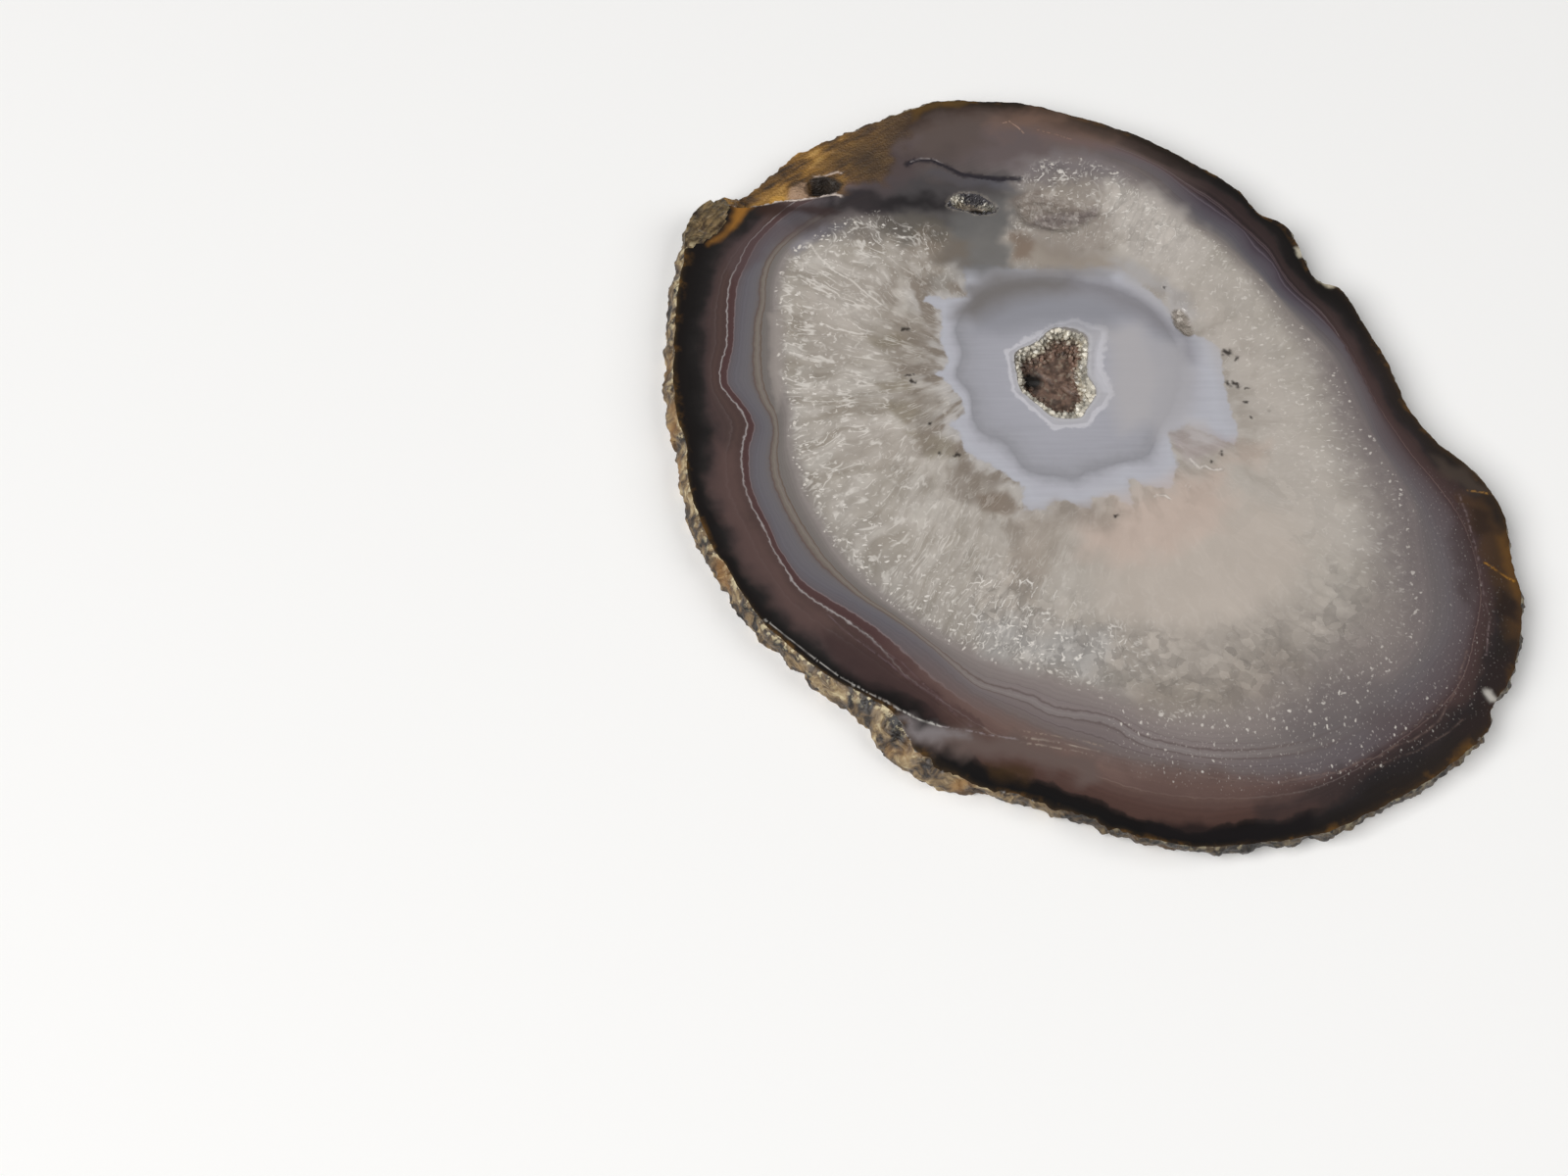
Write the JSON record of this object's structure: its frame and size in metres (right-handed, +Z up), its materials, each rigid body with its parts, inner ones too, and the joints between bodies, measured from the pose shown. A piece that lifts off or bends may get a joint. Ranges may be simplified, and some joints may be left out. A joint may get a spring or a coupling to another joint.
{
  "type": "agate slice",
  "caption": "Flat polished slice of a banded agate nodule with a rough natural rind, a pale centre, and two hollows lined with small quartz crystals.",
  "frame": {"origin": "middle of the sawn back, on the surface that the slice lies on", "axes": "+Z up through the slice's thickness, out of the polished face; +Y towards the side with the stained lobe, the cleft and the side hollow; +X to the right of that, seen from above"},
  "size_m": [0.1481, 0.1594, 0.0063],
  "materials": {
    "agate": "polished face, rough natural rind, sawn back",
    "quartz_crystals": "natural crystal faces, glossy, uncut"
  },
  "bodies": {
    "root": {"agate_slice": "agate", "central_vug_crystals": "quartz_crystals", "side_vug_crystals": "quartz_crystals"}
  },
  "joints": []
}
